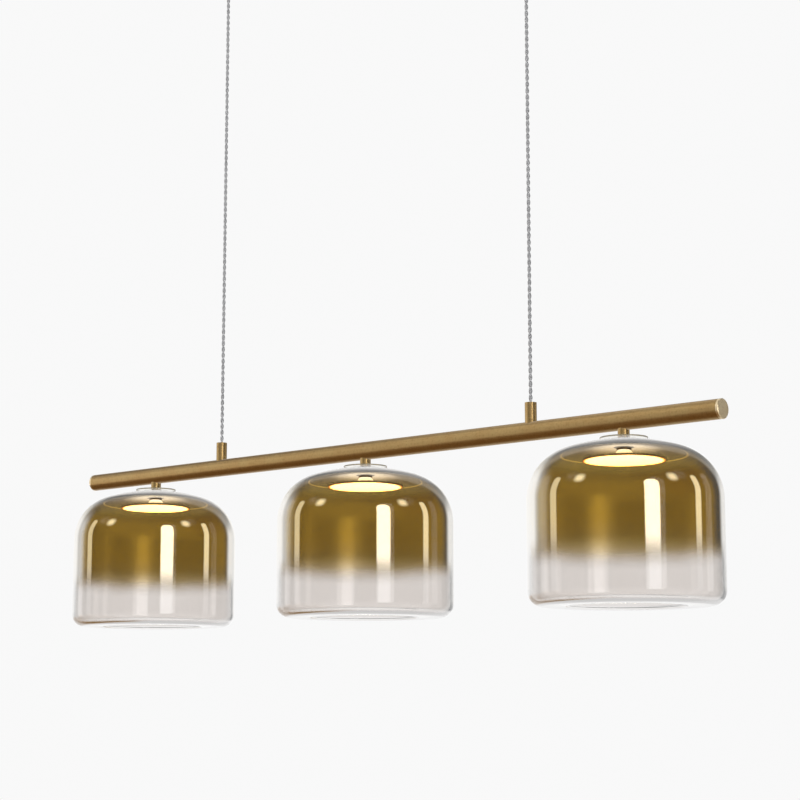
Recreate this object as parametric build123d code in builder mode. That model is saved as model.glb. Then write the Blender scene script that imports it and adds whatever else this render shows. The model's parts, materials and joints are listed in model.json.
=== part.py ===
from build123d import *
import os
from math import cos, radians, sin, sqrt

# Linear pendant light: a tubular bar hung from a ceiling canopy by two cables,
# with three domed glass shades under it. Millimetres, +Z up, +X along the bar.
# The origin is the centre of the canopy's face on the ceiling.

# Bar
bar_length = 920.0
bar_diameter = 20.0
bar_wall = 1.5
bar_drop = 660.0
cap_face = 3.0
cap_spigot_length = 12.0
cap_chamfer = 0.6

# Where the shades and the cables stand along the bar
shade_spacing = 345.0
cable_spacing = 460.0

# Hollow thread of the sockets and grips, and the thinner one of the stems
thread_diameter = 10.0
stem_thread_diameter = 5.0
nipple_bore = 3.2
nut_length = 16.0
nut_flat = 3.0
thread_clearance = 0.05
hole_clearance = 0.15
seat_clearance = 0.05

# Stem, clear plate, gaskets and clamp nut of each shade
stem_diameter = 12.0
stem_length = 7.2
stem_nose_diameter = 10.6
stem_nose_tip = 7.0
plate_diameter = 48.0
plate_thickness = 1.5
gasket_diameter = 30.0
inner_gasket_diameter = 18.0
gasket_thickness = 1.0
clamp_nut_diameter = 15.0
clamp_nut_thickness = 3.0

# Glass shade
glass_diameter = 195.0
glass_height = 165.0
glass_wall = 3.5
glass_crown_radius = 200.0
glass_shoulder_radius = 54.0
glass_foot_radius = 15.0
glass_mouth_diameter = 118.0
glass_seat_margin = 1.0
glass_hole_clearance = 0.5

# Light source of each shade
hub_height = 12.5
hub_neck_diameter = 13.0
hub_throat_diameter = 19.0
hub_throat_drop = 5.0
hub_diameter = 84.6
hub_rim = 1.0
hub_edge = 1.8
hub_ledge = 1.3
board_diameter = 50.0
board_thickness = 1.0
board_depth = 2.5
board_clearance = 0.3
diffuser_thickness = 1.2
diffuser_clearance = 0.1
board_screw_diameter = 2.0
board_screw_head_diameter = 4.0
board_screw_head = 1.1
board_screw_length = 1.8
board_screw_circle = 36.0
lead_diameter = 2.4

# Wiring inside the bar
bus_diameter = 4.0
bus_overhang = 15.0
connector_length = 14.0
connector_width = 9.0
connector_height = 5.2

# Cable sockets on the bar
socket_diameter = 12.5
socket_height = 20.0
ferrule_diameter = 6.0
grub_diameter = 3.0
grub_length = 2.6
grub_height = 12.0

# Cables
cable_diameter = 4.0
cable_bore_clearance = 0.3
cable_tip_gap = 0.3
tail_depth = 9.5
tail_straight = 0.5

# Ceiling canopy and its bracket
canopy_length = 540.0
canopy_width = 60.0
canopy_height = 30.0
canopy_wall = 1.2
canopy_corner_radius = 8.0
canopy_edge_radius = 1.0
bracket_width = 40.0
bracket_thickness = 2.0
bracket_end_gap = 0.5
bracket_ear_height = 20.0
bracket_ear_width = 24.0
ceiling_hole_diameter = 5.5
ceiling_hole_spacing = 500.0
canopy_screw_diameter = 4.0
canopy_screw_head_diameter = 8.0
canopy_screw_head = 3.0
canopy_screw_length = 6.0
canopy_screw_drop = 12.0

# Cable grips in the canopy
grip_diameter = 14.0
grip_length = 20.0
grip_chamfer = 1.5
grip_nut_flats = 14.0
grip_nut_thickness = 4.0
grip_thread_spare = 2.0
plunger_diameter = 8.0
plunger_stand = 5.0
plunger_guide = 6.0
plunger_fit = 0.08
plunger_chamfer = 0.6
spring_length = 7.0
spring_diameter = 7.4
spring_bore = 5.4

# Driver and mains terminal
driver_length = 160.0
driver_width = 36.0
driver_height = 18.0
driver_tab_length = 10.0
driver_tab_width = 12.0
driver_tab_thickness = 2.0
driver_screw_diameter = 3.0
driver_screw_head_diameter = 5.5
driver_screw_head = 2.0
terminal_length = 30.0
terminal_width = 14.0
terminal_height = 12.0
terminal_gap = 20.0
terminal_offset = 12.0
mains_lead_diameter = 5.0
mains_lead_depth = 7.0

# Levels and radii that follow from the sizes above
bar_z = -bar_drop
bar_radius = bar_diameter / 2
bar_bore_radius = bar_radius - bar_wall
thread_radius = thread_diameter / 2
thread_hole_radius = thread_radius + thread_clearance
bar_hole_radius = thread_radius + hole_clearance
stem_thread_radius = stem_thread_diameter / 2
stem_tap_radius = stem_thread_radius + thread_clearance
stem_hole_radius = stem_thread_radius + hole_clearance
nose_hole_radius = stem_nose_diameter / 2 + hole_clearance
plate_top = bar_z - bar_radius - stem_length
plate_bottom = plate_top - plate_thickness
glass_top = plate_bottom - gasket_thickness
glass_bottom = glass_top - glass_height
glass_inner_top = glass_top - glass_wall
clamp_nut_top = glass_inner_top - gasket_thickness
hub_top = clamp_nut_top - clamp_nut_thickness
hub_bottom = hub_top - hub_height
board_top = hub_bottom + board_depth + board_thickness
diffuser_top = hub_bottom + diffuser_thickness
socket_top = bar_z + bar_radius + socket_height
canopy_bottom = -canopy_height
canopy_floor = canopy_bottom + canopy_wall
bracket_bottom = -bracket_thickness
grip_bottom = canopy_bottom - grip_length
swing_z = grip_bottom - plunger_stand
cable_radius = cable_diameter / 2
cable_bore_radius = cable_radius + cable_bore_clearance
plunger_top = grip_bottom + plunger_guide
spring_top = plunger_top + spring_length

shade_places = {"left": -shade_spacing, "middle": 0.0, "right": shade_spacing}
cable_places = {"left": -cable_spacing / 2, "right": cable_spacing / 2}
sides = {"left": -1, "right": 1}

os.makedirs("parts", exist_ok=True)


def save(builder, name):
    builder.part.label = name
    export_step(builder.part, f"parts/{name}.step")


def upright(x):
    """Vertical plane through an axis at x: radius across, height up."""
    return Plane(origin=(x, 0, 0), x_dir=(1, 0, 0), z_dir=(0, -1, 0))


def axis_at(x):
    return Axis((x, 0, 0), (0, 0, 1))


def on_circle(centre, radius, angle):
    return (centre[0] + radius * cos(radians(angle)), centre[1] + radius * sin(radians(angle)))


def round_arc(centre, radius, start, end):
    """Arc drawn in the current line from one angle to another."""
    middle = (start + end) / 2
    ThreePointArc(*[on_circle(centre, radius, angle) for angle in (start, middle, end)])


def ring(x, outer_radius, inner_radius, top, thickness):
    """Flat ring or disc about a vertical axis, added to the current part."""
    with BuildSketch(Plane.XY.offset(top - thickness)) as section:
        with Locations((x, 0)):
            Circle(outer_radius)
            Circle(inner_radius, mode=Mode.SUBTRACT)
    extrude(section.sketch, amount=thickness)


def rod(x, radius, bottom, top, mode=Mode.ADD):
    """Vertical round bar, added to or cut from the current part."""
    with BuildSketch(Plane.XY.offset(bottom)) as section:
        with Locations((x, 0)):
            Circle(radius)
    extrude(section.sketch, amount=top - bottom, mode=mode)


def bar_saddle(x):
    """Cut the current part back to the round of the bar."""
    with BuildSketch(Plane.YZ.offset(x)) as section:
        with Locations((0, bar_z)):
            Circle(bar_radius + seat_clearance)
    extrude(section.sketch, amount=bar_diameter, both=True, mode=Mode.SUBTRACT)


# Bar tube with a hole for each stem below and each socket above
with BuildPart() as bar_tube:
    with BuildSketch(Plane.YZ):
        with Locations((0, bar_z)):
            Circle(bar_radius)
            Circle(bar_bore_radius, mode=Mode.SUBTRACT)
    extrude(amount=bar_length / 2 - cap_face, both=True)
    for x in shade_places.values():
        rod(x, stem_hole_radius, bar_z - bar_radius, bar_z, mode=Mode.SUBTRACT)
    for x in cable_places.values():
        rod(x, bar_hole_radius, bar_z, bar_z + bar_radius, mode=Mode.SUBTRACT)
save(bar_tube, "bar_tube")

# Turned end caps with a spigot inside the tube
for name, side in sides.items():
    with BuildPart() as end_cap:
        with BuildSketch(Plane.YZ.offset(side * (bar_length / 2 - cap_face))):
            with Locations((0, bar_z)):
                Circle(bar_radius)
        extrude(amount=side * cap_face)
        rim = end_cap.edges().filter_by(GeomType.CIRCLE).sort_by(Axis.X)[-1 if side > 0 else 0]
        chamfer(rim, cap_chamfer)
        with BuildSketch(Plane.YZ.offset(side * (bar_length / 2 - cap_face))):
            with Locations((0, bar_z)):
                Circle(bar_bore_radius - seat_clearance)
        extrude(amount=-side * cap_spigot_length)
    save(end_cap, f"end_cap_{name}")

# Curved nuts inside the bar, below for the stems and above for the sockets
nut_places = [(x, -1) for x in shade_places.values()] + [(x, 1) for x in cable_places.values()]
with BuildPart() as saddle_nuts:
    for x, side in nut_places:
        with BuildSketch(Plane.YZ.offset(x)):
            with Locations((0, bar_z)):
                Circle(bar_bore_radius - seat_clearance)
            with Locations((0, bar_z + side * (nut_flat - bar_radius))):
                Rectangle(bar_diameter, bar_diameter, mode=Mode.SUBTRACT)
        extrude(amount=nut_length / 2, both=True)
    for x, side in nut_places:
        tap_radius = thread_hole_radius if side > 0 else stem_tap_radius
        rod(x, tap_radius, bar_z, bar_z + side * bar_radius, mode=Mode.SUBTRACT)
save(saddle_nuts, "saddle_nuts")

# Cable sockets: a cylinder on the bar with a threaded shank through its wall
for name, x in cable_places.items():
    with BuildPart() as cable_socket:
        rod(x, socket_diameter / 2, bar_z, socket_top)
        bar_saddle(x)
        rod(x, thread_radius, bar_z + nut_flat, bar_z + bar_radius + seat_clearance)
        rod(x, ferrule_diameter / 2 + thread_clearance, bar_z, socket_top, mode=Mode.SUBTRACT)
        with BuildSketch(Plane.XZ):
            with Locations((x, bar_z + bar_radius + grub_height)):
                Circle(grub_diameter / 2 + thread_clearance)
        extrude(amount=-socket_diameter, mode=Mode.SUBTRACT)
    save(cable_socket, f"cable_socket_{name}")

# Grub screws at the back of the sockets, and the crimped cable ends they hold
with BuildPart() as socket_grub_screws:
    for x in cable_places.values():
        with BuildSketch(Plane.XZ.offset(-ferrule_diameter / 2 - thread_clearance)):
            with Locations((x, bar_z + bar_radius + grub_height)):
                Circle(grub_diameter / 2)
        extrude(amount=-grub_length)
save(socket_grub_screws, "socket_grub_screws")

with BuildPart() as cable_ferrules:
    for x in cable_places.values():
        rod(x, ferrule_diameter / 2, bar_z + bus_diameter / 2, socket_top)
save(cable_ferrules, "cable_ferrules")

# Wiring inside the bar
bus_end = shade_spacing + bus_overhang
with BuildPart() as bus_cable:
    with BuildSketch(Plane.YZ):
        with Locations((0, bar_z)):
            Circle(bus_diameter / 2)
    extrude(amount=bus_end, both=True)
save(bus_cable, "bus_cable")

with BuildPart() as wire_connectors:
    for x in shade_places.values():
        with BuildSketch(Plane.YZ.offset(x)):
            with Locations((0, bar_z)):
                Rectangle(connector_width, connector_height)
                Circle(bus_diameter / 2 + thread_clearance, mode=Mode.SUBTRACT)
        extrude(amount=connector_length / 2, both=True)
    for x in shade_places.values():
        rod(x, lead_diameter / 2 + thread_clearance, bar_z - connector_height, bar_z, mode=Mode.SUBTRACT)
save(wire_connectors, "wire_connectors")

# Glass shade: crown, shoulder, straight wall and turned-in foot, all of one thickness
glass_radius = glass_diameter / 2
seat_radius = gasket_diameter / 2 + glass_seat_margin
crown_centre = (0.0, glass_top - sqrt(glass_crown_radius**2 - seat_radius**2))
shoulder_x = glass_radius - glass_shoulder_radius
shoulder_rise = sqrt((glass_crown_radius - glass_shoulder_radius) ** 2 - shoulder_x**2)
shoulder_centre = (shoulder_x, crown_centre[1] + shoulder_rise)
foot_centre = (glass_radius - glass_foot_radius, glass_bottom + glass_foot_radius)
lip_centre = (glass_mouth_diameter / 2 + glass_wall / 2, glass_bottom + glass_wall / 2)
glass_hole_radius = stem_thread_radius + glass_hole_clearance


def crown_angle(radius, x):
    """Angle on the crown, from the horizontal, where it is x from the axis."""
    return Vector(x, sqrt(radius**2 - x**2)).get_signed_angle(Vector(1, 0), Vector(0, 0, -1))


def glass_skin(inset):
    """Outer or inner line of the glass, from the seat to the foot."""
    crown_radius = glass_crown_radius - inset
    joint_angle = crown_angle(1, shoulder_x / (glass_crown_radius - glass_shoulder_radius))
    round_arc(crown_centre, crown_radius, crown_angle(crown_radius, seat_radius), joint_angle)
    round_arc(shoulder_centre, glass_shoulder_radius - inset, joint_angle, 0)
    Line((glass_radius - inset, shoulder_centre[1]), (glass_radius - inset, foot_centre[1]))
    round_arc(foot_centre, glass_foot_radius - inset, 0, -90)
    Line((foot_centre[0], glass_bottom + inset), (lip_centre[0], glass_bottom + inset))


inner_seat = on_circle(crown_centre, glass_crown_radius - glass_wall,
                       crown_angle(glass_crown_radius - glass_wall, seat_radius))
for name, x in shade_places.items():
    with BuildPart() as glass_shade:
        with BuildSketch(upright(x)):
            with BuildLine():
                glass_skin(0)
                glass_skin(glass_wall)
                round_arc(lip_centre, glass_wall / 2, 270, 90)
                Polyline((seat_radius, glass_top), (glass_hole_radius, glass_top),
                         (glass_hole_radius, inner_seat[1]), inner_seat)
            make_face()
        revolve(axis=axis_at(x))
    save(glass_shade, f"glass_shade_{name}")

    # Stem: a sleeve whose tapered nose centres the clear plate and ends just over the glass
    with BuildPart() as stem_sleeve:
        nose_bottom = glass_top + seat_clearance
        rod(x, stem_diameter / 2, plate_top, bar_z)
        with BuildSketch(upright(x)):
            with BuildLine():
                Polyline((0, plate_top), (stem_nose_diameter / 2, plate_top),
                         (stem_nose_tip / 2, nose_bottom), (0, nose_bottom), close=True)
            make_face()
        revolve(axis=axis_at(x))
        rod(x, stem_hole_radius, nose_bottom, bar_z, mode=Mode.SUBTRACT)
        bar_saddle(x)
    save(stem_sleeve, f"stem_sleeve_{name}")

    with BuildPart() as stem_nipple:
        nipple_bottom = hub_top - hub_throat_drop + seat_clearance
        rod(x, stem_thread_radius, nipple_bottom, bar_z - nut_flat)
        rod(x, nipple_bore / 2, nipple_bottom, bar_z - nut_flat, mode=Mode.SUBTRACT)
    save(stem_nipple, f"stem_nipple_{name}")

    with BuildPart() as shade_plate:
        ring(x, plate_diameter / 2, nose_hole_radius, plate_top, plate_thickness)
    save(shade_plate, f"shade_plate_{name}")

    with BuildPart() as shade_gaskets:
        ring(x, gasket_diameter / 2, nose_hole_radius, plate_bottom, gasket_thickness)
        ring(x, inner_gasket_diameter / 2, stem_hole_radius, inner_seat[1], inner_seat[1] - clamp_nut_top)
    save(shade_gaskets, f"shade_gaskets_{name}")

    # Light source: a shallow conical hub that carries the board and the opal disc
    with BuildPart() as led_hub:
        with BuildSketch(upright(x)):
            with BuildLine():
                Polyline(
                    (stem_tap_radius, hub_top),
                    (hub_neck_diameter / 2, hub_top),
                    (hub_throat_diameter / 2, hub_top - hub_throat_drop),
                    (hub_diameter / 2, hub_bottom + hub_edge),
                    (hub_diameter / 2, hub_bottom),
                    (hub_diameter / 2 - hub_rim, hub_bottom),
                    (hub_diameter / 2 - hub_rim, diffuser_top),
                    (hub_diameter / 2 - hub_rim - hub_ledge, diffuser_top),
                    (board_diameter / 2 + board_clearance, board_top),
                    (nipple_bore / 2, board_top),
                    (nipple_bore / 2, hub_top - hub_throat_drop),
                    (stem_tap_radius, hub_top - hub_throat_drop),
                    close=True,
                )
            make_face()
        revolve(axis=axis_at(x))
        with BuildSketch(Plane.XY.offset(board_top)):
            with Locations((x, 0)):
                with PolarLocations(board_screw_circle / 2, 2):
                    Circle(board_screw_diameter / 2 + thread_clearance)
        extrude(amount=board_screw_length, mode=Mode.SUBTRACT)
    save(led_hub, f"led_hub_{name}")

    with BuildPart() as led_board:
        rod(x, board_diameter / 2, board_top - board_thickness, board_top)
        with BuildSketch(Plane.XY.offset(board_top)):
            with Locations((x, 0)):
                with PolarLocations(board_screw_circle / 2, 2):
                    Circle(board_screw_diameter / 2 + thread_clearance)
        extrude(amount=-board_thickness, mode=Mode.SUBTRACT)
    save(led_board, f"led_board_{name}")

    with BuildPart() as led_diffuser:
        rod(x, hub_diameter / 2 - hub_rim - diffuser_clearance, hub_bottom, diffuser_top)
    save(led_diffuser, f"led_diffuser_{name}")

    with BuildPart() as led_lead:
        rod(x, lead_diameter / 2, board_top, bar_z - bus_diameter / 2)
    save(led_lead, f"led_lead_{name}")

# Fasteners that repeat under every shade
with BuildPart() as clamp_nuts:
    for x in shade_places.values():
        ring(x, clamp_nut_diameter / 2, stem_tap_radius, clamp_nut_top, clamp_nut_thickness)
save(clamp_nuts, "clamp_nuts")

board_bottom = board_top - board_thickness
with BuildPart() as board_screws:
    for x in shade_places.values():
        with BuildSketch(Plane.XY.offset(board_bottom)):
            with Locations((x, 0)):
                with PolarLocations(board_screw_circle / 2, 2):
                    Circle(board_screw_diameter / 2)
        extrude(amount=board_thickness + board_screw_length - seat_clearance)
        with BuildSketch(Plane.XY.offset(board_bottom)):
            with Locations((x, 0)):
                with PolarLocations(board_screw_circle / 2, 2):
                    Circle(board_screw_head_diameter / 2)
        extrude(amount=-board_screw_head)
save(board_screws, "board_screws")

# Hanging cables: a rounded tip turns in the grip's mouth, the foot stands on the ferrule
for name, x in cable_places.items():
    with BuildPart() as cable:
        with BuildSketch(upright(x)):
            with BuildLine():
                Polyline((0, swing_z + cable_radius), (0, socket_top), (cable_radius, socket_top),
                         (cable_radius, swing_z))
                round_arc((0, swing_z), cable_radius, 0, 90)
            make_face()
        revolve(axis=axis_at(x))
    save(cable, f"cable_{name}")

# Canopy: a brass box open to the ceiling
with BuildPart() as canopy_cover:
    with BuildSketch():
        RectangleRounded(canopy_length, canopy_width, canopy_corner_radius)
    extrude(amount=-canopy_height)
    fillet(canopy_cover.faces().sort_by(Axis.Z)[0].edges(), canopy_edge_radius)
    with BuildSketch():
        RectangleRounded(canopy_length - 2 * canopy_wall, canopy_width - 2 * canopy_wall,
                         canopy_corner_radius - canopy_wall)
    extrude(amount=canopy_floor, mode=Mode.SUBTRACT)
    for x in cable_places.values():
        rod(x, bar_hole_radius, canopy_bottom, canopy_floor, mode=Mode.SUBTRACT)
    with BuildSketch(Plane.YZ):
        with Locations((0, -canopy_screw_drop)):
            Circle(canopy_screw_diameter / 2 + hole_clearance)
    extrude(amount=canopy_length / 2, both=True, mode=Mode.SUBTRACT)
save(canopy_cover, "canopy_cover")

# Ceiling bracket: a strip with an ear bent down at each end
bracket_length = canopy_length - 2 * (canopy_wall + bracket_end_gap)
driver_screw_places = [side * (driver_length + driver_tab_length) / 2 for side in (-1, 1)]
with BuildPart() as ceiling_bracket:
    with BuildSketch():
        Rectangle(bracket_length, bracket_width)
        with GridLocations(ceiling_hole_spacing, 0, 2, 1):
            Circle(ceiling_hole_diameter / 2, mode=Mode.SUBTRACT)
        for x in driver_screw_places:
            with Locations((x, 0)):
                Circle(driver_screw_diameter / 2 + thread_clearance, mode=Mode.SUBTRACT)
    extrude(amount=-bracket_thickness)
    with BuildSketch(Plane.XY.offset(bracket_bottom)):
        with GridLocations(bracket_length - bracket_thickness, 0, 2, 1):
            Rectangle(bracket_thickness, bracket_ear_width)
    extrude(amount=bracket_thickness - bracket_ear_height)
    with BuildSketch(Plane.YZ):
        with Locations((0, -canopy_screw_drop)):
            Circle(canopy_screw_diameter / 2 + thread_clearance)
    extrude(amount=bracket_length / 2, both=True, mode=Mode.SUBTRACT)
save(ceiling_bracket, "ceiling_bracket")

# Screws through the canopy's ends into the bracket's ears
with BuildPart() as canopy_screws:
    for side in sides.values():
        with BuildSketch(Plane.YZ.offset(side * canopy_length / 2)):
            with Locations((0, -canopy_screw_drop)):
                Circle(canopy_screw_head_diameter / 2)
        extrude(amount=side * canopy_screw_head)
        with BuildSketch(Plane.YZ.offset(side * canopy_length / 2)):
            with Locations((0, -canopy_screw_drop)):
                Circle(canopy_screw_diameter / 2)
        extrude(amount=-side * canopy_screw_length)
save(canopy_screws, "canopy_screws")

# Driver under the bracket, held by a tab at each end
with BuildPart() as led_driver:
    with BuildSketch(Plane.XY.offset(bracket_bottom)):
        Rectangle(driver_length, driver_width)
    extrude(amount=-driver_height)
    with BuildSketch(Plane.XY.offset(bracket_bottom)):
        Rectangle(driver_length + 2 * driver_tab_length, driver_tab_width)
    extrude(amount=-driver_tab_thickness)
    for x in driver_screw_places:
        rod(x, driver_screw_diameter / 2 + thread_clearance, bracket_bottom - driver_tab_thickness,
            bracket_bottom, mode=Mode.SUBTRACT)
save(led_driver, "led_driver")

with BuildPart() as driver_screws:
    tab_bottom = bracket_bottom - driver_tab_thickness
    for x in driver_screw_places:
        rod(x, driver_screw_diameter / 2, tab_bottom, -seat_clearance)
        rod(x, driver_screw_head_diameter / 2, tab_bottom - driver_screw_head, tab_bottom)
save(driver_screws, "driver_screws")

# Mains terminal beside the driver, and the short lead between them
terminal_start = driver_length / 2 + terminal_gap
with BuildPart() as terminal_block:
    with BuildSketch(Plane.XY.offset(bracket_bottom)):
        with Locations((terminal_start + terminal_length / 2, terminal_offset)):
            Rectangle(terminal_length, terminal_width)
    extrude(amount=-terminal_height)
save(terminal_block, "terminal_block")

with BuildPart() as mains_lead:
    with BuildSketch(Plane.YZ.offset(driver_length / 2)):
        with Locations((terminal_offset, bracket_bottom - mains_lead_depth)):
            Circle(mains_lead_diameter / 2)
    extrude(amount=terminal_gap)
save(mains_lead, "mains_lead")

# Cable grips: a threaded body through the canopy with a sprung release plunger
grip_thread_top = canopy_floor + grip_nut_thickness + grip_thread_spare
tail_bend_radius = -tail_depth - (grip_thread_top + tail_straight)
for name, x in cable_places.items():
    with BuildPart() as grip_body:
        rod(x, grip_diameter / 2, grip_bottom, canopy_bottom)
        chamfer(grip_body.edges().filter_by(GeomType.CIRCLE).sort_by(Axis.Z)[0], grip_chamfer)
        rod(x, thread_radius, canopy_bottom, grip_thread_top)
        rod(x, cable_bore_radius, grip_bottom, grip_thread_top, mode=Mode.SUBTRACT)
        rod(x, plunger_diameter / 2 + plunger_fit, grip_bottom, spring_top, mode=Mode.SUBTRACT)
    save(grip_body, f"grip_body_{name}")

    with BuildPart() as grip_plunger:
        rod(x, plunger_diameter / 2, swing_z, plunger_top)
        chamfer(grip_plunger.edges().filter_by(GeomType.CIRCLE).sort_by(Axis.Z)[0], plunger_chamfer)
        rod(x, cable_bore_radius, swing_z, plunger_top, mode=Mode.SUBTRACT)
    save(grip_plunger, f"grip_plunger_{name}")

    with BuildPart() as grip_spring:
        ring(x, spring_diameter / 2, spring_bore / 2, spring_top, spring_length)
    save(grip_spring, f"grip_spring_{name}")

    # Cable tail: up through the grip, then along the canopy to the driver
    with BuildPart() as cable_tail:
        tail_foot = swing_z + cable_radius + cable_tip_gap
        driver_end = sides[name] * driver_length / 2
        with BuildLine():
            FilletPolyline((x, 0, tail_foot), (x, 0, -tail_depth), (driver_end, 0, -tail_depth),
                           radius=tail_bend_radius)
        with BuildSketch(Plane.XY.offset(tail_foot)):
            with Locations((x, 0)):
                Circle(cable_radius)
        sweep()
    save(cable_tail, f"cable_tail_{name}")

with BuildPart() as grip_nuts:
    for x in cable_places.values():
        with BuildSketch(Plane.XY.offset(canopy_floor)):
            with Locations((x, 0)):
                RegularPolygon(grip_nut_flats / 2, 6, major_radius=False)
                Circle(thread_hole_radius, mode=Mode.SUBTRACT)
        extrude(amount=grip_nut_thickness)
save(grip_nuts, "grip_nuts")
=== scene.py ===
import json
import math

import bmesh
import bpy
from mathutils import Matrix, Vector

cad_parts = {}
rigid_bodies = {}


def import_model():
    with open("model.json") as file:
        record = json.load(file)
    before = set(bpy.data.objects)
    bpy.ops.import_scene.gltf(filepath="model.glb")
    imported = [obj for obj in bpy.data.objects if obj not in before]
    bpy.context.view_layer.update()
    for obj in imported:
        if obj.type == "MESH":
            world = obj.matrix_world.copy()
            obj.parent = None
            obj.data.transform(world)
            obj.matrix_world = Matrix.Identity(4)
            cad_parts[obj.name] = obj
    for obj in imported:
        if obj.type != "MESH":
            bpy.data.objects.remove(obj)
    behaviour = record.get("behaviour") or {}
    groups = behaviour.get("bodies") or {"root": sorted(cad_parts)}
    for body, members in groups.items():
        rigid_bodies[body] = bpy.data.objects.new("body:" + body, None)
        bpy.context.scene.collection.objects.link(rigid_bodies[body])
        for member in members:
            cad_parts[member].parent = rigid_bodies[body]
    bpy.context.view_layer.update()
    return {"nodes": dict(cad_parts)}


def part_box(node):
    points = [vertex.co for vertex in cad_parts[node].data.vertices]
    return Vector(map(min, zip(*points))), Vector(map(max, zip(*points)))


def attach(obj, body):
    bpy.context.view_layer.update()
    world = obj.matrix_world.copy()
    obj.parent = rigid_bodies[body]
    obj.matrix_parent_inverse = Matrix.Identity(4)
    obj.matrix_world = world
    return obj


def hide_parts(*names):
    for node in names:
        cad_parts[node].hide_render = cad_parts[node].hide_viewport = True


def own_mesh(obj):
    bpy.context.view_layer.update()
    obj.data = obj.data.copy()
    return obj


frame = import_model()
nodes = frame["nodes"]
scene = bpy.context.scene
sides = ("left", "right")
shadeNames = ("left", "middle", "right")
print("frame:", len(nodes), "nodes")

# Camera where the photograph was taken from: below the bar, looking a little up
cameraView = {
    "lens": 86.31,  # mm on a 36 mm sensor
    "place": (1.41225, -1.57285, -0.9475),
    "tiltUp": 9.267,
    "turn": 40.879,
}
cameraData = bpy.data.cameras.new("camera")
cameraData.sensor_width = 36
cameraData.lens = cameraView["lens"]
camera = bpy.data.objects.new("camera", cameraData)
camera.location = cameraView["place"]
camera.rotation_euler = (math.radians(90 + cameraView["tiltUp"]), 0, math.radians(cameraView["turn"]))
scene.collection.objects.link(camera)
scene.camera = camera
print("camera set")


# Node helpers
def addNode(tree, kind, inputs=None, **settings):
    node = tree.nodes.new("ShaderNode" + kind)
    for key, value in settings.items():
        setattr(node, key, value)
    for key, value in (inputs or {}).items():
        if isinstance(value, bpy.types.NodeSocket):
            tree.links.new(value, node.inputs[key])
        else:
            node.inputs[key].default_value = value
    return node


def calc(tree, operation, first, second=0.0):
    return addNode(tree, "Math", {0: first, 1: second}, operation=operation).outputs[0]


def blendNumber(tree, share, first, second):
    return addNode(tree, "Mix", {0: share, 2: first, 3: second}, data_type="FLOAT").outputs[0]


def blendColour(tree, share, first, second):
    return addNode(tree, "Mix", {0: share, 6: first, 7: second}, data_type="RGBA").outputs[2]


def distance(tree, first, second):
    squares = calc(tree, "ADD", calc(tree, "POWER", first, 2.0), calc(tree, "POWER", second, 2.0))
    return calc(tree, "SQRT", squares)


def ramp(tree, value, low, high, toLow=0.0, toHigh=1.0):
    span = {"Value": value, "From Min": low, "From Max": high, "To Min": toLow, "To Max": toHigh}
    return addNode(tree, "MapRange", span, interpolation_type="SMOOTHSTEP").outputs[0]


def startMaterial(name):
    material = bpy.data.materials.new(name)
    material.use_nodes = True
    material.node_tree.nodes.clear()
    return material, material.node_tree


def endMaterial(tree, shader):
    addNode(tree, "OutputMaterial", {"Surface": shader.outputs[0]})


def objectPoint(tree):
    return addNode(tree, "TexCoord").outputs["Object"]


def stretched(tree, scale):
    return addNode(tree, "Mapping", {"Vector": objectPoint(tree), "Scale": scale}).outputs[0]


def noise(tree, scale, detail=3.0, stretch=(1, 1, 1)):
    spot = stretched(tree, [scale * s for s in stretch])
    return addNode(tree, "TexNoise", {"Vector": spot, "Scale": 1.0, "Detail": detail}).outputs[0]


def bumped(tree, height, depth, strength=1.0):
    return addNode(tree, "Bump", {"Height": height, "Distance": depth, "Strength": strength}).outputs[0]


# Brass, brushed across the length of each piece and aged a little
brassLook = {
    "satin": {"bright": (0.47, 0.318, 0.132, 1), "rosy": (0.45, 0.288, 0.115, 1), "dark": (0.310, 0.190, 0.068, 1)},
    "cut": {"bright": (0.90, 0.74, 0.48, 1), "rosy": (0.86, 0.68, 0.42, 1), "dark": (0.62, 0.46, 0.26, 1)},
    # darker brown tones for the clamp nuts: painted shade standing in for the dark crown they would mirror
    "shadedBrown": {"bright": (0.24, 0.150, 0.050, 1), "rosy": (0.22, 0.130, 0.042, 1), "dark": (0.14, 0.080, 0.026, 1)},
    "roughness": (0.30, 0.40),
    "grainDepth": 0.00002,
    "rings": 2400,  # turning marks on the end caps, per metre
    "barRadius": 0.010,
}


def turningMarks(tree):
    # rings round the bar's axis
    parts = addNode(tree, "SeparateXYZ", {0: objectPoint(tree)})
    above = calc(tree, "SUBTRACT", parts.outputs[2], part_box("bar_tube")[0].z + brassLook["barRadius"])
    out = distance(tree, parts.outputs[1], above)
    ring = addNode(tree, "CombineXYZ", {0: calc(tree, "MULTIPLY", out, brassLook["rings"])}).outputs[0]
    return addNode(tree, "TexNoise", {"Vector": ring, "Scale": 1.0, "Detail": 2.0}).outputs[0]


def brass(name, grain=None, tones=brassLook["satin"]):
    material, tree = startMaterial(name)
    fine = noise(tree, 1.0, 2.0, grain) if grain else turningMarks(tree)
    cloud = noise(tree, 55.0, 4.0)
    fleck = noise(tree, 420.0, 2.0)
    tone = blendColour(tree, ramp(tree, cloud, 0.35, 0.68), tones["bright"], tones["rosy"])
    tone = blendColour(tree, ramp(tree, fleck, 0.46, 0.72, 0.0, 0.5), tone, tones["dark"])
    tone = blendColour(tree, ramp(tree, fine, 0.40, 0.80, 0.0, 0.30), tone, tones["dark"])
    low, high = brassLook["roughness"]
    metal = addNode(tree, "BsdfPrincipled", {
        "Base Color": tone,
        "Metallic": 1.0,
        "Roughness": ramp(tree, fine, 0.3, 0.7, low, high),
        "Normal": bumped(tree, fine, brassLook["grainDepth"], 0.35),
    })
    endMaterial(tree, metal)
    return material


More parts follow.
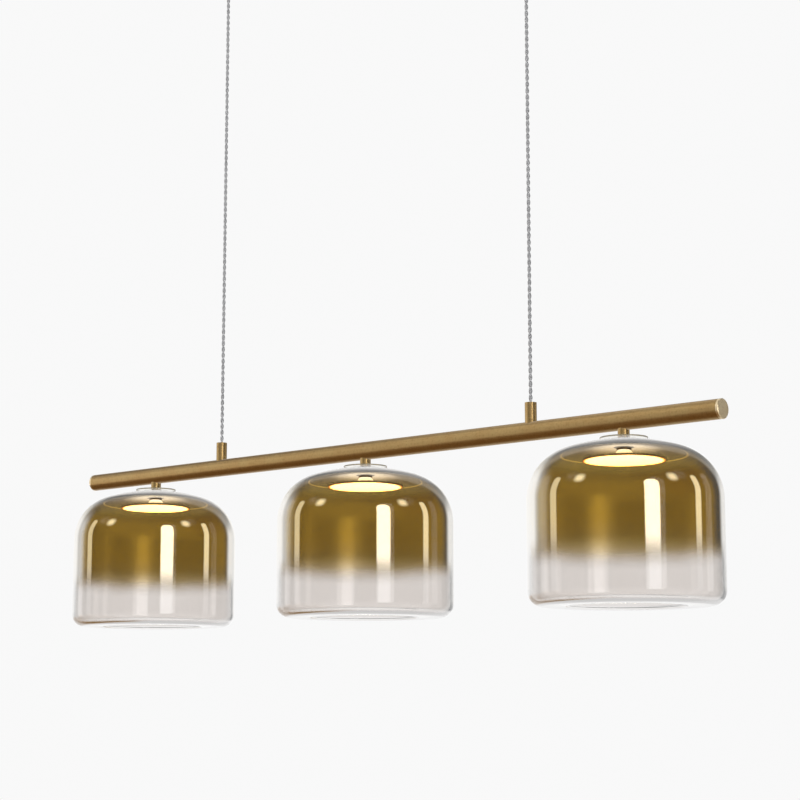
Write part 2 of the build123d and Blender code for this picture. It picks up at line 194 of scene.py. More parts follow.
barBrass = brass("barBrass", (2600, 90, 90))
turnedBrass = brass("turnedBrass", (90, 90, 2600))
sheetBrass = brass("sheetBrass", (60, 2200, 2200))
capBrass = brass("capBrass", tones=brassLook["cut"])
# the clamp nuts take the darker tones, a painted shade
shadedNutBrass = brass("shadedNutBrass", (90, 90, 2600), brassLook["shadedBrown"])
print("brass mixed")


# Plain finishes: colour cloud, fine tooth and roughness for each
plainFinishes = {
    "boardWhite": {"pale": (0.86, 0.86, 0.84, 1), "dull": (0.78, 0.79, 0.78, 1), "metal": 0.0,
                   "roughness": (0.40, 0.50), "tooth": 1500, "depth": 0.00001},
    "zincSteel": {"pale": (0.62, 0.62, 0.63, 1), "dull": (0.46, 0.47, 0.49, 1), "metal": 1.0,
                  "roughness": (0.28, 0.42), "tooth": 1200, "depth": 0.00003},
    "wireWhite": {"pale": (0.84, 0.84, 0.83, 1), "dull": (0.76, 0.76, 0.75, 1), "metal": 0.0,
                  "roughness": (0.30, 0.40), "tooth": 1100, "depth": 0.00002},
    "connectorPlastic": {"pale": (0.80, 0.78, 0.73, 1), "dull": (0.70, 0.68, 0.63, 1), "metal": 0.0,
                         "roughness": (0.42, 0.55), "tooth": 800, "depth": 0.00003},
    "driverCase": {"pale": (0.82, 0.82, 0.81, 1), "dull": (0.74, 0.74, 0.73, 1), "metal": 0.0,
                   "roughness": (0.45, 0.58), "tooth": 1000, "depth": 0.00005},
}


def plainFinish(name):
    look = plainFinishes[name]
    material, tree = startMaterial(name)
    cloud = noise(tree, 40.0, 4.0)
    tooth = noise(tree, look["tooth"], 2.0)
    tone = blendColour(tree, ramp(tree, cloud, 0.35, 0.70), look["pale"], look["dull"])
    low, high = look["roughness"]
    surface = addNode(tree, "BsdfPrincipled", {
        "Base Color": tone,
        "Metallic": look["metal"],
        "Roughness": ramp(tree, tooth, 0.3, 0.7, low, high),
        "Normal": bumped(tree, tooth, look["depth"], 0.5),
    })
    endMaterial(tree, surface)
    return material


plain = {name: plainFinish(name) for name in plainFinishes}

# See-through plate and soft rings over the glass: clear faces, with painted darker side faces at the rim, standing in
# for light bent through a clear edge
clearLooks = {
    "clearPlastic": {"through": (0.97, 0.96, 0.93, 1), "rim": (0.40, 0.34, 0.21, 1), "paintedRimShare": 0.85, "gloss": 0.30},
    "softSilicone": {"through": (0.97, 0.965, 0.955, 1), "rim": (0.80, 0.78, 0.74, 1), "paintedRimShare": 0.25, "gloss": 0.12},
}


def clearFinish(name):
    look = clearLooks[name]
    material, tree = startMaterial(name)
    upward = addNode(tree, "SeparateXYZ", {0: addNode(tree, "NewGeometry").outputs["Normal"]}).outputs[2]
    # painted edge shade: faces that look sideways turn opaque and darker
    rim = ramp(tree, calc(tree, "ABSOLUTE", upward), 0.3, 0.8, look["paintedRimShare"], 0.0)
    grain = ramp(tree, noise(tree, 500.0, 2.0), 0.3, 0.7, 0.02, 0.12)
    gloss = addNode(tree, "BsdfGlossy", {"Color": (0.95, 0.95, 0.95, 1), "Roughness": grain})
    through = addNode(tree, "BsdfTransparent", {"Color": look["through"]})
    edge = addNode(tree, "BsdfPrincipled", {"Base Color": look["rim"], "Roughness": 0.25})
    glancing = addNode(tree, "LayerWeight", {"Blend": 0.2}).outputs["Fresnel"]
    glossShare = calc(tree, "MULTIPLY", glancing, look["gloss"])
    face = addNode(tree, "MixShader", {0: glossShare, 1: through.outputs[0], 2: gloss.outputs[0]})
    surface = addNode(tree, "MixShader", {0: rim, 1: face.outputs[0], 2: edge.outputs[0]})
    endMaterial(tree, surface)
    return material


clear = {name: clearFinish(name) for name in clearLooks}


# Lit opal disc: warm white, orange at its rim
discGlow = {
    "middle": (1.0, 0.91, 0.74, 1),
    "rim": (1.0, 0.30, 0.06, 1),
    "strength": (13.0, 1.6),  # middle, rim
    "rimStart": 0.0374,
    "rimEnd": 0.0411,
}


def fromAxis(tree, centre):
    # distance from an upright axis
    spot = addNode(tree, "Mapping", {"Vector": objectPoint(tree), "Location": [-c for c in centre]}).outputs[0]
    parts = addNode(tree, "SeparateXYZ", {0: spot})
    return distance(tree, parts.outputs[0], parts.outputs[1])


def opalGlow(name, centre):
    material, tree = startMaterial(name)
    across = fromAxis(tree, centre)
    share = ramp(tree, across, discGlow["rimStart"], discGlow["rimEnd"])
    tone = blendColour(tree, share, discGlow["middle"], discGlow["rim"])
    grainy = ramp(tree, noise(tree, 260.0, 3.0), 0.3, 0.7, 0.35, 0.5)
    surface = addNode(tree, "BsdfPrincipled", {
        "Base Color": tone,
        "Roughness": grainy,
        "Emission Color": tone,
        "Emission Strength": blendNumber(tree, share, *discGlow["strength"]),
    })
    endMaterial(tree, surface)
    return material


# White hub over the disc, with a painted glow at its neck standing in for the lamp's light falling on it
hubGlow = {
    "colour": (0.88, 0.86, 0.80, 1),
    "dull": (0.80, 0.78, 0.72, 1),
    "glow": (1.0, 0.93, 0.80, 1),
    "strength": 3.2,
    "neck": 0.0100,
    "dimBy": 0.0340,
}


def paintedGlowHub(name, centre):
    material, tree = startMaterial(name)
    share = ramp(tree, fromAxis(tree, centre), hubGlow["neck"], hubGlow["dimBy"], hubGlow["strength"], 0.0)
    tooth = noise(tree, 900.0, 2.0)
    cloud = ramp(tree, noise(tree, 40.0, 4.0), 0.35, 0.70)
    surface = addNode(tree, "BsdfPrincipled", {
        "Base Color": blendColour(tree, cloud, hubGlow["colour"], hubGlow["dull"]),
        "Roughness": ramp(tree, tooth, 0.3, 0.7, 0.32, 0.45),
        "Emission Color": hubGlow["glow"],
        "Emission Strength": share,
        "Normal": bumped(tree, tooth, 0.00002, 0.5),
    })
    endMaterial(tree, surface)
    return material


# Shade glass, gilded inside, with a thin lustre on its outside that mirrors; both fade to clear
glassLook = {
    "tint": (0.885, 0.850, 0.825, 1),
    "pale": (0.900, 0.868, 0.845, 1),  # where it ran a little thinner
    "ior": 1.45,
}
# Heights are below the top of the glass
filmLook = {
    "gold": {"shine": (0.95, 0.80, 0.46, 1), "through": (0.735, 0.550, 0.123, 1), "mirror": 0.45},
    "grey": {"shine": (0.80, 0.72, 0.62, 1), "through": (0.62, 0.54, 0.43, 1), "mirror": 0.30},
    "satin": 0.36,  # roughness of the bare inner side
    "dull": 0.75,  # how much less that side mirrors
    "crownShare": 0.50,  # thin film over the crown
    "edge": 0.0138,  # edge where the full gilding starts, drawn as a painted bright line
    "edgeHalf": 0.00045,
    "edgeShare": 0.75,
    "edgeColour": (0.95, 0.80, 0.45, 1),
    "edgeGlow": 1.5,
    "edgeSoft": 0.003,
    "fullAt": 0.027,
    "crownGrey": 0.65,
    "crownGlow": 2.8,  # painted glow standing in for the hub's light caught inside the crown
    "crownLight": (1.0, 0.92, 0.76, 1),
    "glowFrom": 0.0003,
    "glowTo": 0.0080,
    "deep": (0.74, 0.70, 0.66, 1),  # transmitted colour darker just below the edge
    "deepFrom": 0.022,
    "deepTo": 0.036,
    "sheen": 0.78,  # clear gloss at glancing angles
    "sheenColour": (0.98, 0.97, 0.95, 1),
    "sheenBelow": 0.018,
    "sheenFull": 0.044,
    "sheenFrom": 0.47,
    "sheenTo": 0.62,
    "bareSheen": 0.60,  # the same on the clear glass below
    "bareFrom": 0.66,
    "bareTo": 0.86,
    "bareDown": 0.146,
    "bareEnd": 0.159,
    "goldBy": 0.040,
    "greyFrom": 0.081,
    "fadeFrom": 0.100,
    "fadeTo": 0.125,
}


def blownGlass():
    material, tree = startMaterial("blownGlass")
    cloud = ramp(tree, noise(tree, 12.0, 1.0), 0.3, 0.7)
    surface = addNode(tree, "BsdfPrincipled", {
        "Base Color": blendColour(tree, cloud, glassLook["tint"], glassLook["pale"]),
        "Roughness": 0.0,
        "IOR": glassLook["ior"],
        "Transmission Weight": 1.0,
    })
    endMaterial(tree, surface)
    return material


def filmShares(tree, glassTop):
    # depth below the top, how grey the gold is there, and how much of it there is
    height = addNode(tree, "SeparateXYZ", {0: objectPoint(tree)}).outputs[2]
    drop = calc(tree, "SUBTRACT", glassTop, height)
    haze = ramp(tree, noise(tree, 30.0, 3.0), 0.2, 0.8, -0.0015, 0.0015)
    level = calc(tree, "ADD", drop, haze)
    grey = calc(tree, "MAXIMUM", ramp(tree, drop, filmLook["edge"], filmLook["goldBy"], filmLook["crownGrey"], 0.0),
                ramp(tree, level, filmLook["greyFrom"], filmLook["fadeTo"]))
    share = ramp(tree, level, filmLook["edge"], filmLook["fullAt"], filmLook["crownShare"], 1.0)
    fade = ramp(tree, level, filmLook["fadeFrom"], filmLook["fadeTo"], 1.0, 0.0)
    return drop, grey, calc(tree, "MULTIPLY", share, fade)


def goldFilm(glassTop):
    material, tree = startMaterial("goldFilm")
    drop, grey, share = filmShares(tree, glassTop)
    gold, dull = filmLook["gold"], filmLook["grey"]
    shine = addNode(tree, "BsdfGlossy", {
        "Color": blendColour(tree, grey, gold["shine"], dull["shine"]),
        "Roughness": filmLook["satin"],
    })
    tone = blendColour(tree, grey, gold["through"], dull["through"])
    deep = calc(tree, "MULTIPLY", ramp(tree, drop, filmLook["edge"], filmLook["edge"] + filmLook["edgeSoft"]),
                ramp(tree, drop, filmLook["deepFrom"], filmLook["deepTo"], 1.0, 0.0))
    deepTone = addNode(tree, "Mix", {0: deep, 6: tone, 7: filmLook["deep"]}, data_type="RGBA", blend_type="MULTIPLY")
    through = addNode(tree, "BsdfTransparent", {"Color": deepTone.outputs[2]})
    clearly = addNode(tree, "BsdfTransparent")
    inside = addNode(tree, "NewGeometry").outputs["Backfacing"]
    mirror = blendNumber(tree, grey, gold["mirror"] * filmLook["dull"], dull["mirror"] * filmLook["dull"])
    mirror = calc(tree, "MULTIPLY", mirror, inside)
    film = addNode(tree, "MixShader", {0: mirror, 1: through.outputs[0], 2: shine.outputs[0]})
    coat = addNode(tree, "MixShader", {0: share, 1: clearly.outputs[0], 2: film.outputs[0]})
    # painted highlight: a bright, glowing line along the edge of the full gilding
    line = addNode(tree, "BsdfPrincipled", {
        "Base Color": filmLook["edgeColour"],
        "Roughness": 0.3,
        "Emission Color": filmLook["edgeColour"],  # painted glow standing in for the lamp's light caught at the edge
        "Emission Strength": filmLook["edgeGlow"],
    })
    away = calc(tree, "ABSOLUTE", calc(tree, "SUBTRACT", drop, filmLook["edge"]))
    atEdge = ramp(tree, away, filmLook["edgeHalf"] * 0.5, filmLook["edgeHalf"], filmLook["edgeShare"], 0.0)
    edged = addNode(tree, "MixShader", {0: atEdge, 1: coat.outputs[0], 2: line.outputs[0]})
    # painted glow inside the crown, seen from the inside only
    glow = ramp(tree, drop, filmLook["glowFrom"], filmLook["glowTo"], filmLook["crownGlow"], 0.0)
    glow = calc(tree, "MULTIPLY", glow, inside)
    paintedCrownGlow = addNode(tree, "Emission", {"Color": filmLook["crownLight"], "Strength": glow})
    surface = addNode(tree, "AddShader", {0: edged.outputs[0], 1: paintedCrownGlow.outputs[0]})
    endMaterial(tree, surface)
    return material


def goldLustre(glassTop):
    material, tree = startMaterial("goldLustre")
    drop, grey, share = filmShares(tree, glassTop)
    gold, dull = filmLook["gold"], filmLook["grey"]
    shine = addNode(tree, "BsdfGlossy", {
        "Color": blendColour(tree, grey, gold["shine"], dull["shine"]),
        "Roughness": 0.0,
    })
    clearly = addNode(tree, "BsdfTransparent")
    outside = calc(tree, "SUBTRACT", 1.0, addNode(tree, "NewGeometry").outputs["Backfacing"])
    straightOn = calc(tree, "SUBTRACT", 1.0, addNode(tree, "Fresnel", {"IOR": glassLook["ior"]}).outputs[0])
    mirror = calc(tree, "MULTIPLY", blendNumber(tree, grey, gold["mirror"], dull["mirror"]), share)
    mirror = calc(tree, "MULTIPLY", mirror, calc(tree, "MULTIPLY", outside, straightOn))
    coat = addNode(tree, "MixShader", {0: mirror, 1: clearly.outputs[0], 2: shine.outputs[0]})
    glancing = addNode(tree, "LayerWeight", {"Blend": 0.5}).outputs["Facing"]
    gilt = ramp(tree, glancing, filmLook["sheenFrom"], filmLook["sheenTo"], 0.0, filmLook["sheen"])
    bare = ramp(tree, glancing, filmLook["bareFrom"], filmLook["bareTo"], 0.0, filmLook["bareSheen"])
    bare = calc(tree, "MULTIPLY", bare, ramp(tree, drop, filmLook["bareDown"], filmLook["bareEnd"], 1.0, 0.0))
    sheen = calc(tree, "MULTIPLY", blendNumber(tree, share, bare, gilt), outside)
    sheen = calc(tree, "MULTIPLY", sheen, ramp(tree, drop, filmLook["sheenBelow"], filmLook["sheenFull"]))
    gloss = addNode(tree, "BsdfGlossy", {"Color": filmLook["sheenColour"], "Roughness": 0.0})
    surface = addNode(tree, "MixShader", {0: sheen, 1: coat.outputs[0], 2: gloss.outputs[0]})
    endMaterial(tree, surface)
    return material


# Modelling helpers
def arcPoints(centre, radius, start, end, steps):
    angles = [math.radians(start + (end - start) * step / steps) for step in range(steps + 1)]
    return [(centre[0] + radius * math.cos(a), centre[1] + radius * math.sin(a)) for a in angles]


def placePiece(name, shape, material, body, replaced, sharpAngle=40):
    for face in shape.faces:
        face.smooth = True
    for edge in shape.edges:
        edge.smooth = len(edge.link_faces) < 2 or edge.calc_face_angle(0) < math.radians(sharpAngle)
    mesh = bpy.data.meshes.new(name)
    shape.to_mesh(mesh)
    shape.free()
    mesh.materials.append(material)
    piece = bpy.data.objects.new(name, mesh)
    piece.visible_glossy = False  # the shades mirror the studio alone
    scene.collection.objects.link(piece)
    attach(piece, body)
    if replaced:
        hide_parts(*replaced)
    return piece


def spunShape(outline, centre, closed=True, steps=128):
    shape = bmesh.new()
    corners = [shape.verts.new((across, 0, height)) for across, height in outline]
    lines = [shape.edges.new(pair) for pair in zip(corners, corners[1:])]
    if closed:
        lines.append(shape.edges.new((corners[-1], corners[0])))
    bmesh.ops.spin(shape, geom=corners + lines, axis=(0, 0, 1), cent=(0, 0, 0), steps=steps,
                   angle=math.tau, use_merge=True, use_duplicate=False)
    bmesh.ops.remove_doubles(shape, verts=shape.verts, dist=1e-6)
    bmesh.ops.recalc_face_normals(shape, faces=shape.faces)
    bmesh.ops.translate(shape, verts=shape.verts, vec=centre)
    return shape


# Hanging cables: two thin strands twisted together, straight under the load
cableMake = {
    "across": 0.230,  # from the middle to each cable
    "socketTop": -0.630,
    "gripFoot": -0.055,
    "straight": 0.024,  # straight run at each end
    "strand": 0.002,  # one strand, across
    "twist": 0.0144,  # height of one full turn
    "stepsPerTurn": 20,
    "raised": 0.200,  # how far the lamp can be drawn up
    "pale": (0.56, 0.56, 0.57, 1),
    "dull": (0.33, 0.33, 0.34, 1),
}


def cableSteel():
    material, tree = startMaterial("strandSteel")
    spot = addNode(tree, "TexCoord").outputs["UV"]
    along = addNode(tree, "Mapping", {"Vector": spot, "Scale": (900, 7, 1)}).outputs[0]
    lay = addNode(tree, "TexWave", {"Vector": along, "Scale": 1.0, "Distortion": 0.4}, bands_direction="DIAGONAL")
    grime = noise(tree, 700.0, 3.0)
    tone = blendColour(tree, ramp(tree, grime, 0.4, 0.75), cableMake["pale"], cableMake["dull"])
    surface = addNode(tree, "BsdfPrincipled", {
        "Base Color": tone,
        "Metallic": 0.85,
        "Roughness": ramp(tree, grime, 0.3, 0.7, 0.24, 0.36),
        "Normal": bumped(tree, lay.outputs["Fac"], 0.00005, 0.4),
    })
    endMaterial(tree, surface)
    return material


def routeLine(name, points):
    data = bpy.data.curves.new(name, "CURVE")
    data.dimensions = "3D"
    spline = data.splines.new("NURBS")
    spline.points.add(len(points) - 1)
    for point, place in zip(spline.points, points):
        point.co = (*place, 1)
    spline.order_u = 3
    spline.use_endpoint_u = True
    spline.resolution_u = 24
    line = bpy.data.objects.new(name, data)
    scene.collection.objects.link(line)
    path = [v.co.copy() for v in bpy.data.meshes.new_from_object(line).vertices]
    bpy.data.objects.remove(line)
    return path


def strandMesh(name, path, start, strand, twist, perTurn):
    lengths = [0.0]
    for here, there in zip(path, path[1:]):
        lengths.append(lengths[-1] + (there - here).length)
    steps = round(lengths[-1] / twist * perTurn)
    data = bpy.data.curves.new(name, "CURVE")
    data.dimensions = "3D"
    data.bevel_depth = strand / 2
    data.bevel_resolution = 3
    data.use_fill_caps = True
    spline = data.splines.new("POLY")
    spline.points.add(steps)
    leg = 0
    for step in range(steps + 1):
        reach = lengths[-1] * step / steps
        while leg < len(path) - 2 and lengths[leg + 1] < reach:
            leg += 1
        share = (reach - lengths[leg]) / (lengths[leg + 1] - lengths[leg])
        middle = path[leg].lerp(path[leg + 1], share)
        turn = start + math.tau * reach / twist
        sideways = Vector((0, 1, 0))  # every route lies in an upright plane along the bar
        upward = (path[leg + 1] - path[leg]).normalized().cross(sideways)
        offset = (sideways * math.cos(turn) + upward * math.sin(turn)) * strand / 2
        spline.points[step].co = (*(middle + offset), 1)
    curve = bpy.data.objects.new(name, data)
    scene.collection.objects.link(curve)
    mesh = bpy.data.meshes.new_from_object(curve)
    bpy.data.objects.remove(curve)
    return mesh


def twistedShape(path, strand, twist, perTurn):
    shape = bmesh.new()
    for start in (0, math.pi):
        shape.from_mesh(strandMesh("strand", path, start, strand, twist, perTurn))
    return shape


strandSteel = cableSteel()
for side, sign in zip(sides, (-1, 1)):
    x = sign * cableMake["across"]
    low, high, run = cableMake["socketTop"], cableMake["gripFoot"], cableMake["straight"]
    route = [(x, 0, low), (x, 0, low + run), (x, 0, high - run), (x, 0, high)]
    path = routeLine("cableRoute_" + side, route)
    shape = twistedShape(path, cableMake["strand"], cableMake["twist"], cableMake["stepsPerTurn"])
    cable = placePiece("cable_strands_" + side, shape, strandSteel, "cables", ["cable_" + side])
    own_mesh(cable)
print("cables twisted")

# Wiring that is held at both ends: cable tails in the canopy, and the pairs in the canopy, bar and stems
wiring = {
    "tail": {"strand": 0.0020, "twist": 0.0144, "perTurn": 16, "foot": -0.0527, "grip": -0.0300, "depth": -0.0095,
             "next": 0.028, "driverEnd": 0.080},
    "bus": {"strand": 0.0020, "twist": 0.0300, "perTurn": 12, "end": 0.360, "depth": -0.660},
    "lead": {"strand": 0.0012, "twist": 0.0110, "perTurn": 12, "low": -0.6962, "high": -0.6620, "apart": 0.345},
    "mains": {"strand": 0.0025, "twist": 0.0160, "perTurn": 16, "from": 0.080, "to": 0.100, "aside": 0.012,
              "depth": -0.009},
}


def runWire(name, route, kind, material, body, node):
    make = wiring[kind]
    shape = twistedShape(routeLine(name + "_route", route), make["strand"], make["twist"], make["perTurn"])
    return placePiece(name, shape, material, body, [node])


pairWhite = plain["wireWhite"]
make = wiring["tail"]
for side, sign in zip(sides, (-1, 1)):
    x = sign * cableMake["across"]
    corner = (x, 0, make["depth"])
    route = [(x, 0, make["foot"]), (x, 0, make["grip"]), corner, (x - sign * make["next"], 0, make["depth"]),
             (sign * make["driverEnd"], 0, make["depth"])]
    runWire("tail_strands_" + side, route, "tail", strandSteel, "canopy", "cable_tail_" + side)
make = wiring["bus"]
route = [(-make["end"], 0, make["depth"]), (0, 0, make["depth"]), (make["end"], 0, make["depth"])]
runWire("bus_pair", route, "bus", pairWhite, "pendant", "bus_cable")
make = wiring["lead"]
for step, name in enumerate(shadeNames):
    x = make["apart"] * (step - 1)
    route = [(x, 0, make["low"]), (x, 0, (make["low"] + make["high"]) / 2), (x, 0, make["high"])]
    runWire("lead_pair_" + name, route, "lead", pairWhite, "pendant", "led_lead_" + name)
make = wiring["mains"]
middle = (make["from"] + make["to"]) / 2
route = [(x, make["aside"], make["depth"]) for x in (make["from"], middle, make["to"])]
runWire("mains_pair", route, "mains", pairWhite, "canopy", "mains_lead")
print("wiring run")


# Glass shades
shadeShape = {
    "radius": 0.0975,
    "wall": 0.0035,
    "crown": 0.200,  # outside radius of the top
    "shoulder": 0.054,
    "foot": 0.015,
    "mouth": 0.059,
    "seat": 0.016,  # flat round the hole
    "hole": 0.0030,
    "filmGap": 0.0002,
    "filmFrom": 0.0105,  # film starts outside the lower soft ring
    "lustreFrom": 0.0160,  # and the lustre outside the upper one
    "filmPast": 0.004,  # how far each skin runs on past its fade
    "lustrePast": 0.002,
}


def shadeOutline(radius, top, bottom, inset):
    # one wall of the shade from the hole's flat to the foot, drawn in by inset
    seatDrop = shadeShape["crown"] - math.sqrt(shadeShape["crown"] ** 2 - shadeShape["seat"] ** 2)
    crownZ = top + seatDrop - shadeShape["crown"]
    shoulderX = radius - shadeShape["shoulder"]
    rise = math.sqrt((shadeShape["crown"] - shadeShape["shoulder"]) ** 2 - shoulderX ** 2)
    shoulderZ = crownZ + rise
    bend = math.degrees(math.atan2(rise, shoulderX))
    seat = math.degrees(math.acos(shadeShape["seat"] / shadeShape["crown"]))
    footX, footZ = radius - shadeShape["foot"], bottom + shadeShape["foot"]
    line = arcPoints((0, crownZ), shadeShape["crown"] - inset, seat, bend, 20)
    line += arcPoints((shoulderX, shoulderZ), shadeShape["shoulder"] - inset, bend, 0, 28)[1:]
    line += [(radius - inset, shoulderZ + (footZ - shoulderZ) * step / 18) for step in range(1, 18)]
    line += arcPoints((footX, footZ), shadeShape["foot"] - inset, 0, -90, 14)
    return line


glass = blownGlass()
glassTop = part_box("glass_shade_left")[1].z
film, lustre = goldFilm(glassTop), goldLustre(glassTop)
for name in shadeNames:
    low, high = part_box("glass_shade_" + name)
    centre = ((low.x + high.x) / 2, 0, 0)
    radius, top, bottom = shadeShape["radius"], high.z, low.z
    wall, gap, hole = shadeShape["wall"], shadeShape["filmGap"], shadeShape["hole"]
    outer = shadeOutline(radius, top, bottom, gap)
    inner = shadeOutline(radius, top, bottom, wall)
    half = (inner[-1][1] - outer[-1][1]) / 2
    lip = arcPoints((shadeShape["mouth"] + half, outer[-1][1] + half), half, -90, -270, 12)
    loop = [(hole, outer[0][1])] + outer + lip + inner[::-1] + [(hole, inner[0][1])]
    shape = spunShape(loop, centre, steps=192)
    placePiece("shade_glass_" + name, shape, glass, "pendant", ["glass_shade_" + name], 60)
    filmDepth = filmLook["fadeTo"] + shadeShape["filmPast"]
    lustreDepth = filmLook["bareEnd"] + shadeShape["lustrePast"]
    coats = (("film", wall + gap, shadeShape["filmFrom"], filmDepth, film),
             ("lustre", 0.0, shadeShape["lustreFrom"], lustreDepth, lustre))
    for layer, inset, start, depth, material in coats:
        line = [p for p in shadeOutline(radius, top, bottom, inset) if p[1] > top - depth]
        if start < line[0][0]:
            line = [(start, line[0][1])] + line
        shape = spunShape(line, centre, closed=False, steps=192)
        placePiece("gold_" + layer + "_" + name, shape, material, "pendant", [], 60)
print("shades blown")


# Finishes of the pieces that keep their CAD shape
finishes = {
    "bar_tube": barBrass, "end_cap": capBrass, "cable_socket": turnedBrass, "stem_sleeve": turnedBrass,
    "shade_plate": clear["clearPlastic"], "clamp_nuts": shadedNutBrass, "canopy_cover": sheetBrass,
    "canopy_screws": barBrass, "grip_body": turnedBrass, "grip_plunger": turnedBrass,
    "led_board": plain["boardWhite"], "shade_gaskets": clear["softSilicone"],
    "saddle_nuts": plain["zincSteel"], "socket_grub_screws": plain["zincSteel"],
    "cable_ferrules": plain["zincSteel"], "stem_nipple": plain["zincSteel"], "board_screws": plain["zincSteel"],
    "ceiling_bracket": plain["zincSteel"], "driver_screws": plain["zincSteel"], "grip_nuts": plain["zincSteel"],
    "grip_spring": plain["zincSteel"], "wire_connectors": plain["connectorPlastic"],
    "terminal_block": plain["connectorPlastic"], "led_driver": plain["driverCase"],
}
for node, piece in nodes.items():
    if piece.hide_render:
        continue
    finish = next((finishes[start] for start in finishes if node.startswith(start)), None)
    if node.startswith(("led_diffuser", "led_hub")):
        low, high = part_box(node)
        # the hub takes a painted glow; the disc is the lamp itself
        makeGlowing = paintedGlowHub if "hub" in node else opalGlow
        finish = makeGlowing("opal_" + node, (low + high) / 2)
    piece.visible_glossy = False  # the shades mirror the studio alone
    piece.data.materials.clear()
    piece.data.materials.append(finish)
print("finishes given")


# Studio: pale floor under the hanging lamp, and soft light painted round it
studio = {
    "floor": -2.4,
    "floorSize": 14.0,
    "floorColour": (0.86, 0.86, 0.86, 1),
    "floorDull": (0.84, 0.84, 0.84, 1),
    "seen": 0.945,  # the plain background
    "base": 0.055,
    "below": 0.62,
    "belowTo": (-35, -5),  # degrees between which the lower level gives way to the base
    "sky": 2.2,  # overhead lamp for matt surfaces
    "skySpread": 60,
    "skyTilt": (18, 14),
    "bounces": 48,
}
# Soft boxes by direction, degrees: turn from the camera to its right, half width, height, half height
softBoxes = [
    {"turn": 172, "half": 42, "height": 36, "halfHeight": 30, "soft": 9, "level": 0.36},  # backdrop, upper sweep
    {"turn": 180, "half": 60, "height": -10, "halfHeight": 24, "soft": 6, "level": 0.90},  # backdrop
    {"turn": -152, "half": 42, "height": 2, "halfHeight": 24, "soft": 12, "level": 0.62},  # wide card at the left
    {"turn": -166, "half": 30, "height": 2, "halfHeight": 24, "soft": 6, "level": 1.0},  # its bright end
    {"turn": 118, "half": 17, "height": 8, "halfHeight": 40, "soft": 7, "level": 0.06},  # flag at the right
    {"turn": -112, "half": 50, "height": -52, "halfHeight": 36, "soft": 8, "level": 0.24,
     "warm": 1.0},  # under the bar
    {"turn": 23.5, "half": 8.8, "height": 0, "halfHeight": 26, "soft": 1.2, "level": 3.5},  # key strip
    {"turn": -99, "half": 5.0, "height": 5, "halfHeight": 24, "soft": 1.2, "level": 1.2},  # left strip
    {"turn": 85, "half": 4.5, "height": 5, "halfHeight": 24, "soft": 1.2, "level": 1.6},  # right strip
    {"turn": -66, "half": 6, "height": 30, "halfHeight": 6, "soft": 4, "level": 1.8},  # spots high at both sides
    {"turn": 54, "half": 6, "height": 30, "halfHeight": 6, "soft": 4, "level": 1.8},
]
warmTone = (1.0, 0.60, 0.26, 1)
# Soft lamps for the metal alone: the same angles, distance and size in metres, brightness
metalLamps = {
    "sideLamp": {"turn": -88, "height": 18, "away": 2.6, "size": (4.0, 3.8), "level": 0.66},
    "frontLamp": {"turn": -12, "height": 12, "away": 3.2, "size": (2.6, 2.4), "level": 0.60},
    "endLamp": {"turn": 107, "height": 9, "away": 2.6, "size": (1.7, 1.7), "level": 0.32},
    "topLamp": {"turn": 0, "height": 90, "away": 2.6, "size": (4.5, 4.5), "level": 0.60},
}
facing = math.atan2(cameraView["place"][1], cameraView["place"][0])  # the camera's side, where turn is 0


def paintStudio():
    world = bpy.data.worlds.new("studio")
    scene.world = world
    world.use_nodes = True
    tree = world.node_tree
    tree.nodes.clear()
    spot = addNode(tree, "TexCoord").outputs["Generated"]
    turned = addNode(tree, "VectorRotate", {"Vector": spot, "Angle": -facing}, rotation_type="Z_AXIS")
    parts = addNode(tree, "SeparateXYZ", {0: turned.outputs[0]})
    turn = calc(tree, "ARCTAN2", parts.outputs[1], parts.outputs[0])
    height = calc(tree, "ARCSINE", parts.outputs[2])
    lower, upper = [math.radians(angle) for angle in studio["belowTo"]]
    level = ramp(tree, height, lower, upper, studio["below"], studio["base"])
    warm = 0.0
    for softBox in softBoxes:
        angles = {key: math.radians(softBox[key]) for key in ("turn", "half", "height", "halfHeight", "soft")}
        aside = addNode(tree, "Math", {0: calc(tree, "SUBTRACT", turn, angles["turn"]), 1: math.pi, 2: -math.pi},
                        operation="WRAP").outputs[0]
        aside = calc(tree, "ABSOLUTE", aside)
        above = calc(tree, "ABSOLUTE", calc(tree, "SUBTRACT", height, angles["height"]))
        corner = min(angles["half"], angles["halfHeight"]) * 0.8  # rounded corners
        pastSide = calc(tree, "MAXIMUM", calc(tree, "SUBTRACT", aside, angles["half"] - corner), 0.0)
        pastTop = calc(tree, "MAXIMUM", calc(tree, "SUBTRACT", above, angles["halfHeight"] - corner), 0.0)
        past = distance(tree, pastSide, pastTop)
        within = ramp(tree, past, corner - angles["soft"], corner + angles["soft"], 1.0, 0.0)
        level = blendNumber(tree, within, level, softBox["level"])
        warm = calc(tree, "MULTIPLY", within, softBox["warm"]) if "warm" in softBox else warm
    path = addNode(tree, "LightPath")
    straight = calc(tree, "LESS_THAN", path.outputs["Glossy Depth"], 0.5)
    through = calc(tree, "MULTIPLY", path.outputs["Is Transmission Ray"], straight)
    plainly = calc(tree, "MAXIMUM", path.outputs["Is Camera Ray"], through)
    level = blendNumber(tree, plainly, level, studio["seen"])
    warm = calc(tree, "MULTIPLY", warm, calc(tree, "SUBTRACT", 1.0, plainly))
    tone = blendColour(tree, warm, (1, 1, 1, 1), warmTone)
    light = addNode(tree, "Background", {"Color": tone, "Strength": level})
    addNode(tree, "OutputWorld", {"Surface": light.outputs[0]})


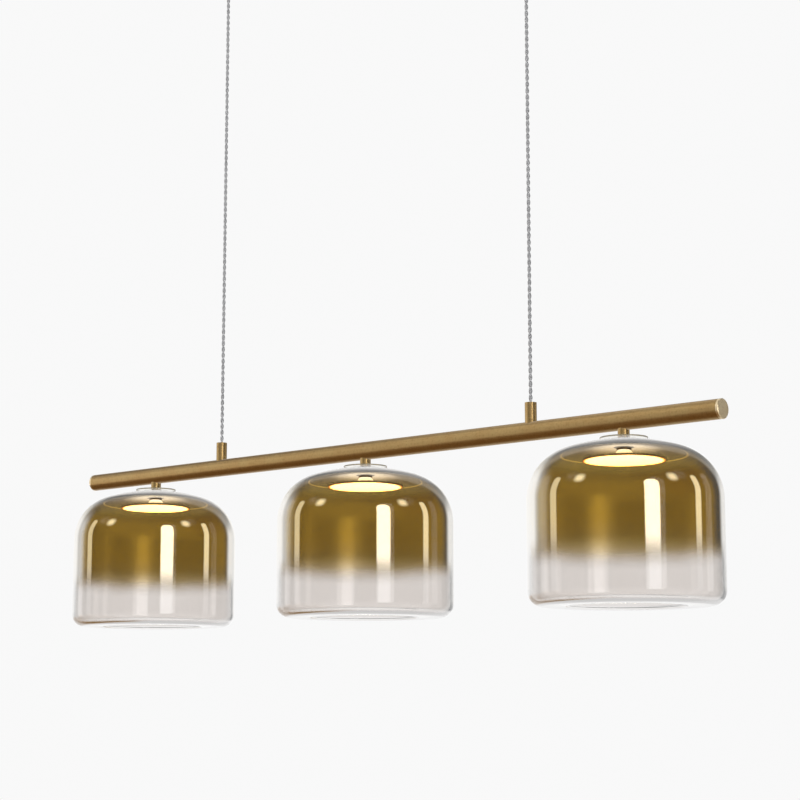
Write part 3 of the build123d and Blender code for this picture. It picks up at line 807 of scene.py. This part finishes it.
def layFloor():
    material, tree = startMaterial("paleFloor")
    cloud = ramp(tree, noise(tree, 1.5, 3.0), 0.3, 0.7)
    tone = blendColour(tree, cloud, studio["floorColour"], studio["floorDull"])
    surface = addNode(tree, "BsdfPrincipled", {"Base Color": tone, "Roughness": 0.8})
    endMaterial(tree, surface)
    shape = bmesh.new()
    bmesh.ops.create_grid(shape, x_segments=1, y_segments=1, size=studio["floorSize"] / 2)
    bmesh.ops.translate(shape, verts=shape.verts, vec=(0, 0, studio["floor"]))
    mesh = bpy.data.meshes.new("floor")
    shape.to_mesh(mesh)
    shape.free()
    mesh.materials.append(material)
    floor = bpy.data.objects.new("floor", mesh)
    floor.visible_glossy = False  # reflections show the painted studio instead
    scene.collection.objects.link(floor)


def hangLamp():
    # wide overhead light for the floor and the matt pieces, kept out of reflections
    data = bpy.data.lights.new("overhead", "SUN")
    data.energy = studio["sky"]
    data.angle = math.radians(studio["skySpread"])
    lamp = bpy.data.objects.new("overhead", data)
    lamp.visible_glossy = False
    tiltX, tiltY = [math.radians(angle) for angle in studio["skyTilt"]]
    lamp.rotation_euler = (tiltX, tiltY, 0)
    scene.collection.objects.link(lamp)


def lightMetal():
    lit = bpy.data.collections.new("metalLit")
    for piece in scene.objects:
        names = [slot.material.name for slot in piece.material_slots if slot.material]
        if any("Brass" in name or "Steel" in name for name in names):
            lit.objects.link(piece)
    middle = Vector((0, 0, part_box("bar_tube")[0].z))
    for name, make in metalLamps.items():
        turn, height = facing + math.radians(make["turn"]), math.radians(make["height"])
        toLamp = Vector((math.cos(height) * math.cos(turn), math.cos(height) * math.sin(turn), math.sin(height)))
        data = bpy.data.lights.new(name, "AREA")
        data.shape = "RECTANGLE"
        data.size, data.size_y = make["size"]
        data.energy = make["level"] * math.pi * data.size * data.size_y
        lamp = bpy.data.objects.new(name, data)
        lamp.location = middle + toLamp * make["away"]
        lamp.rotation_euler = toLamp.to_track_quat("Z", "Y").to_euler()
        lamp.light_linking.receiver_collection = lit
        scene.collection.objects.link(lamp)


paintStudio()
layFloor()
hangLamp()
lightMetal()
scene.view_settings.view_transform = "Standard"
scene.cycles.max_bounces = studio["bounces"]
scene.cycles.glossy_bounces = studio["bounces"]
scene.cycles.transmission_bounces = studio["bounces"]
scene.cycles.transparent_max_bounces = studio["bounces"]
print("studio lit")
